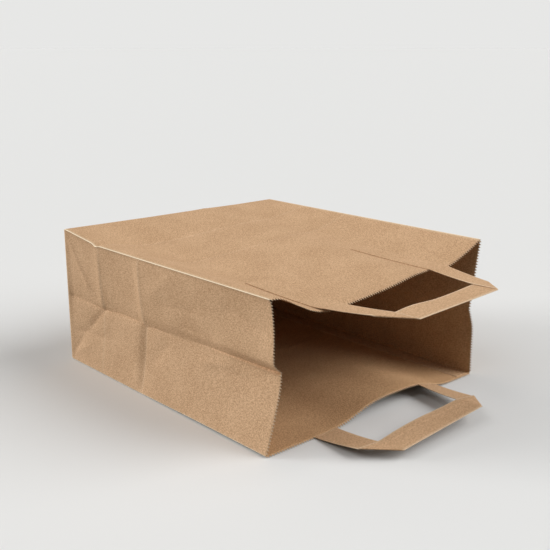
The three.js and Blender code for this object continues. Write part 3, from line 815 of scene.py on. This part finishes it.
kraft = {
    "dark": (0.42, 0.246, 0.126, 1.0),
    "light": (0.71, 0.467, 0.28, 1.0),
    "fleckColour": (0.33, 0.185, 0.09, 1.0),
    # pale colour of raw edges, and of the folds, where it is partly real wear and partly a painted highlight
    "rubbedAndHighlight": (0.96, 0.81, 0.59, 1.0),
    "roughness": 0.8,
    "specular": 0.22,
    # the textures, with their scale across and along the sheet
    "cloud": {"scale": (3.5, 3.5, 3.5), "detail": 3.0, "roughness": 0.55, "weight": 0.5},
    "fibre": {"scale": (170.0, 36.0, 1.0), "detail": 3.0, "roughness": 0.6, "weight": 1.2},
    "speck": {"scale": (100.0, 100.0, 100.0), "detail": 2.0, "roughness": 0.6, "weight": 2.3},
    "mottle": {"scale": (28.0, 28.0, 28.0), "detail": 2.0, "roughness": 0.5, "weight": 0.4},
    "fleck": {"scale": (120.0, 60.0, 1.0), "detail": 2.0, "roughness": 0.5, "weight": 0.35},
    "fleckBand": (0.66, 0.74),
    "ribs": {"scale": 33.0, "distortion": 1.2, "detail": 1.0, "detailScale": 0.6, "weight": 0.08},
    "noiseMean": 0.5,
    "shiftShare": 0.7,  # a finish's shift along the sheet, of that across it
    "wearHighlightWeight": 1.4,
    "wearHighlightFloor": 0.35,  # of the pale fold wear and painted highlight, and of the raw edges, between the specks that break them up
    "edgeWeight": 0.8,
    "bump": 0.04,
    "bumpDepth": 0.00009,
}

finishes = {
    # shift moves the textures on the sheet, tone is the middle between the two browns, the wear value scales
    # the pale folds (partly real wear, partly a painted highlight), and tint multiplies both browns
    "kraftSheet": {"shift": 0.0, "tone": 0.5, "wearAndHighlight": 1.0, "tint": (1.0, 1.0, 1.0)},
    # the inside face: its tint is painted shade, a warmer and more saturated brown for the shaded inside of
    # the bag
    "kraftInsideShadeTint": {"shift": 7.3, "tone": 0.5, "wearAndHighlight": 0.0, "tint": (1.0, 0.96, 0.88)},
    "kraftStrip": {"shift": 3.1, "tone": 0.55, "wearAndHighlight": 0.6, "tint": (1.0, 1.0, 1.0)},
}


def kraftMaterial(name, shift, tone, wearAndHighlight, tint):
    # five textures on the sheet's own UV are summed to one value that runs between two browns; flecks darken
    # it, raw edges are paler, and so are the folds, partly from real wear and partly from a painted
    # highlight
    material = bpy.data.materials.new(name)
    material.use_nodes = True
    nodes, links = material.node_tree.nodes, material.node_tree.links
    shader = nodes["Principled BSDF"]
    shader.inputs["Roughness"].default_value = kraft["roughness"]
    shader.inputs["Specular IOR Level"].default_value = kraft["specular"]

    def node(kind, inputs, **settings):
        made = nodes.new(kind)
        for key, value in settings.items():
            setattr(made, key, value)
        for key, value in inputs.items():
            if isinstance(value, bpy.types.NodeSocket):
                links.new(value, made.inputs[key])
            else:
                made.inputs[key].default_value = value
        return made

    def combine(operation, first, second):
        return node("ShaderNodeMath", {0: first, 1: second}, operation=operation).outputs[0]

    def centred(value, texture):  # its distance from the mean, times its weight
        return combine("MULTIPLY", combine("SUBTRACT", value, kraft["noiseMean"]), kraft[texture]["weight"])

    def blend(share, first, second):  # sockets 6, 7 and 2 are the Mix node's colours
        mixed = node("ShaderNodeMix", {0: share, 6: first, 7: second}, data_type="RGBA", clamp_factor=True)
        return mixed.outputs[2]

    uv = node("ShaderNodeUVMap", {}, uv_map="sheetUV").outputs["UV"]
    place = (shift, kraft["shiftShare"] * shift, 0.0)
    moved = node("ShaderNodeVectorMath", {0: uv, 1: place}, operation="ADD").outputs[0]

    def noise(texture):
        settings = kraft[texture]
        stretched = node("ShaderNodeVectorMath", {0: moved, 1: settings["scale"]}, operation="MULTIPLY")
        inputs = {"Vector": stretched.outputs[0], "Scale": 1.0,
                  "Detail": settings["detail"], "Roughness": settings["roughness"]}
        return node("ShaderNodeTexNoise", inputs, noise_dimensions="2D").outputs["Fac"]

    cloud, fibre, speck = noise("cloud"), noise("fibre"), noise("speck")
    mottle, fleck = noise("mottle"), noise("fleck")
    ribSettings = kraft["ribs"]
    ribInputs = {"Vector": moved, "Scale": ribSettings["scale"], "Distortion": ribSettings["distortion"],
                 "Detail": ribSettings["detail"], "Detail Scale": ribSettings["detailScale"]}
    ribs = node("ShaderNodeTexWave", ribInputs, wave_type="BANDS", bands_direction="X").outputs["Fac"]

    grain = combine("ADD", centred(fibre, "fibre"), centred(speck, "speck"))
    grain = combine("ADD", grain, centred(ribs, "ribs"))
    patches = combine("ADD", centred(cloud, "cloud"), centred(mottle, "mottle"))
    shade = combine("ADD", combine("ADD", grain, patches), tone)
    dark, light = [tuple(np.multiply(kraft[key][:3], tint)) + (1.0,) for key in ("dark", "light")]
    colour = blend(shade, dark, light)

    low, high = kraft["fleckBand"]
    flecks = node("ShaderNodeMapRange", {"Value": fleck, "From Min": low, "From Max": high,
                                         "To Max": kraft["fleck"]["weight"]}).outputs[0]
    colour = blend(flecks, colour, kraft["fleckColour"])
    # folds lightened by real wear and a painted highlight, raw edges by their own paleness
    for attribute, weight in (("foldWearAndHighlight", wearAndHighlight * kraft["wearHighlightWeight"]), ("rawEdge", kraft["edgeWeight"])):
        field = node("ShaderNodeAttribute", {}, attribute_name=attribute).outputs["Fac"]
        broken = combine("ADD", speck, kraft["wearHighlightFloor"])
        patchy = combine("MULTIPLY", field, combine("MULTIPLY", broken, weight))
        colour = blend(patchy, colour, kraft["rubbedAndHighlight"])
    links.new(colour, shader.inputs["Base Color"])

    bumpInputs = {"Strength": kraft["bump"], "Distance": kraft["bumpDepth"], "Height": grain}
    bump = node("ShaderNodeBump", bumpInputs)
    links.new(bump.outputs["Normal"], shader.inputs["Normal"])
    return material


# Putting the pieces together

sheetKraft, innerKraftShadeTint, stripKraft = [kraftMaterial(name, **finish) for name, finish in finishes.items()]
print("kraft finishes made:", len(finishes))

bag = makeBagBody()
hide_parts("bag_body")
print("bag body:", len(bag.data.polygons), "faces")

layers = [makeFlap("underFlap", False, 1), makeFlap("overFlap", True, 2), makeSeamLap()]
print("block bottom flaps and seam lap made")

# each piece gets the sheet's finish, and the inside one whose tint is painted shade
for piece in [bag] + layers:
    piece.data.materials.append(sheetKraft)
    piece.data.materials.append(innerKraftShadeTint)
    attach(piece, "root")

for name, settings in handles.items():
    piece = makeHandle(name, settings)
    piece.data.materials.append(stripKraft)
    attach(piece, "root")
    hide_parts(settings["node"])
    print(name, "made:", len(piece.data.polygons), "faces")


# Floor, light and camera

studio = {  # lengths here are metres
    "floorInner": 0.05,  # radius that the rings start from
    "floorRadius": 40.0,
    "floorRings": 24,
    "floorSides": 64,
    "floorDrop": 0.0003,
    "floorRoughness": 0.9,
    "floorSpecular": 0.1,
    "floorSeen": (0.80, 0.80, 0.79, 1.0),  # as background
    "floorBounce": (0.22, 0.22, 0.21, 1.0),  # to the light that falls on the bag from below
    "skySeen": (0.80, 0.80, 0.79, 1.0),
    "skyLight": 0.24,
    # soft suns, so that the floor is equally bright all over: one over the mouth, a low one from
    # beyond the base that brings out the near gusset's folds, and a weak high one on the near side
    "suns": {
        "mouthSun": {"from": (0.57, -0.59, 0.57), "strength": 2.6, "angle": 50.0},
        "baseSun": {"from": (-0.66, 0.72, 0.20), "strength": 2.42, "angle": 26.0},
        "sideSun": {"from": (-0.60, 0.10, 0.80), "strength": 0.65, "angle": 40.0},
    },
    "cameraPlace": (-0.4463, -0.4742, 0.2589),
    "cameraTilt": 90.0 - 15.07,  # that far below the horizon
    "cameraTurn": -41.98,
    "lens": 56.62,
    "sensor": 36.0,
    "clipEnd": 100.0,
}


def seenAsBackground(nodes, links):
    # 1 for what the camera sees, directly, mirrored or through glass; 0 for light on its way to the bag
    path = nodes.new("ShaderNodeLightPath")
    seen = path.outputs["Is Camera Ray"]
    for ray in ("Is Glossy Ray", "Is Transmission Ray"):
        either = nodes.new("ShaderNodeMath")
        either.operation = "MAXIMUM"
        links.new(seen, either.inputs[0])
        links.new(path.outputs[ray], either.inputs[1])
        seen = either.outputs[0]
    return seen


def makeFloor():
    # rings of a flat disc: radius grows by a fixed factor from ring to ring
    radius = np.geomspace(studio["floorInner"], studio["floorRadius"], studio["floorRings"])[:, None]
    turn = np.linspace(0.0, 2 * math.pi, studio["floorSides"], endpoint=False)[None, :]
    rings = [radius * np.cos(turn), radius * np.sin(turn), -studio["floorDrop"]]
    points = np.stack(np.broadcast_arrays(*rings), axis=-1)
    points[0] = (0.0, 0.0, -studio["floorDrop"])  # the first ring closes at the middle
    faces = gridFaces(studio["floorRings"], studio["floorSides"], wrap=True)[:, ::-1]
    mesh = bpy.data.meshes.new("floor")
    mesh.from_pydata(points.reshape(-1, 3).tolist(), [], faces.tolist())
    floor = bpy.data.objects.new("floor", mesh)
    bpy.context.scene.collection.objects.link(floor)
    closeSeams(mesh)
    material = bpy.data.materials.new("paleFloor")
    material.use_nodes = True
    nodes, links = material.node_tree.nodes, material.node_tree.links
    shader = nodes["Principled BSDF"]
    tone = nodes.new("ShaderNodeMix")
    tone.data_type = "RGBA"
    tone.inputs[6].default_value = studio["floorBounce"]
    tone.inputs[7].default_value = studio["floorSeen"]
    links.new(seenAsBackground(nodes, links), tone.inputs[0])
    links.new(tone.outputs[2], shader.inputs["Base Color"])
    shader.inputs["Roughness"].default_value = studio["floorRoughness"]
    shader.inputs["Specular IOR Level"].default_value = studio["floorSpecular"]
    mesh.materials.append(material)


def makeSky():
    # pale where it is seen as background, and a dimmer light on the bag
    world = bpy.data.worlds.new("sky")
    world.use_nodes = True
    bpy.context.scene.world = world
    nodes, links = world.node_tree.nodes, world.node_tree.links
    shader = nodes["Background"]
    shader.inputs["Color"].default_value = studio["skySeen"]
    strength = nodes.new("ShaderNodeMapRange")
    strength.inputs["To Min"].default_value = studio["skyLight"]
    links.new(seenAsBackground(nodes, links), strength.inputs["Value"])
    links.new(strength.outputs[0], shader.inputs["Strength"])


def makeSun(name, settings):
    # tilted from straight down by the angle of its direction to the vertical, then turned to it
    light = bpy.data.lights.new(name, "SUN")
    light.energy = settings["strength"]
    light.angle = math.radians(settings["angle"])
    lamp = bpy.data.objects.new(name, light)
    bpy.context.scene.collection.objects.link(lamp)
    x, y, z = settings["from"]
    lamp.rotation_euler = (math.atan2(math.hypot(x, y), z), 0.0, math.atan2(x, -y))


def makeCamera():
    # level across, tilted down from the horizon and turned about the vertical
    lens = bpy.data.cameras.new("camera")
    lens.lens = studio["lens"]
    lens.sensor_width = studio["sensor"]
    lens.clip_end = studio["clipEnd"]
    camera = bpy.data.objects.new("camera", lens)
    bpy.context.scene.collection.objects.link(camera)
    camera.location = studio["cameraPlace"]
    camera.rotation_euler = (math.radians(studio["cameraTilt"]), 0.0, math.radians(studio["cameraTurn"]))
    bpy.context.scene.camera = camera


makeFloor()
makeSky()
for name, settings in studio["suns"].items():
    makeSun(name, settings)
makeCamera()
bpy.context.scene.view_settings.view_transform = "Standard"
print("floor, light and camera set")
